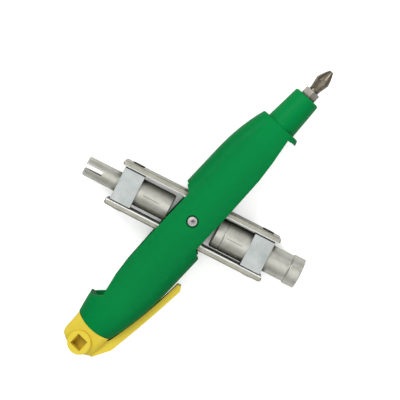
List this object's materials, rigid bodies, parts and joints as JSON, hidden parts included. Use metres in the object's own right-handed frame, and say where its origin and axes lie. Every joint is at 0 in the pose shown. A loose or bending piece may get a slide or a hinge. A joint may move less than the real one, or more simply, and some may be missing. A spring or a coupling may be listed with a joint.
{
  "type": "folding multi utility key",
  "caption": "Pen-shaped folding service key: a carrier with turn-over lock key inserts swings out of a slotted handle with a screwdriver bit, clip and radiator key.",
  "frame": {"origin": "where the carrier's pivot axis meets the handle's flat rear land, at the rivet's flush rear head", "axes": "+Y along the handle towards the bit, +Z out of the handle's front, along the pivot, +X to the clip's side"},
  "size_m": [0.0951, 0.153, 0.0185],
  "materials": {
    "green_plastic": "satin moulded",
    "yellow_plastic": "satin moulded",
    "zinc_casting": "as cast, satin",
    "pin_steel": "turned, satin",
    "bit_steel": "hardened, dark satin",
    "magnet": "plated"
  },
  "bodies": {
    "handle": {"handle_body": "green_plastic", "end_cap": "yellow_plastic", "pivot_rivet": "pin_steel", "flat_washer": "pin_steel", "spring_washer": "pin_steel", "bit_magnet": "magnet"},
    "carrier": {"key_carrier": "zinc_casting", "double_bit_pin": "pin_steel", "triangle_pin": "pin_steel"},
    "double_bit_key": {"double_bit_insert": "zinc_casting"},
    "triangle_key": {"triangle_insert": "zinc_casting"},
    "bit": {"screwdriver_bit": "bit_steel"}
  },
  "joints": [
    {"name": "carrier_swing", "type": "hinge", "parent": "handle", "child": "carrier", "pos_m": [0, 0, 0.00925], "axis": [0, 0, 1], "range_deg": [-16, 74]},
    {"name": "double_bit_turn", "type": "hinge", "parent": "carrier", "child": "double_bit_key", "pos_m": [-0.02797, -0.00802, 0.00925], "axis": [-0.2756, 0.9613, 0], "range_deg": [0, 180]},
    {"name": "triangle_turn", "type": "hinge", "parent": "carrier", "child": "triangle_key", "pos_m": [0.02797, 0.00802, 0.00925], "axis": [-0.2756, 0.9613, 0], "range_deg": [0, 180]},
    {"name": "bit_slide", "type": "slide", "parent": "handle", "child": "bit", "axis": [0, 1, 0], "range_m": [0, 0.014]}
  ]
}
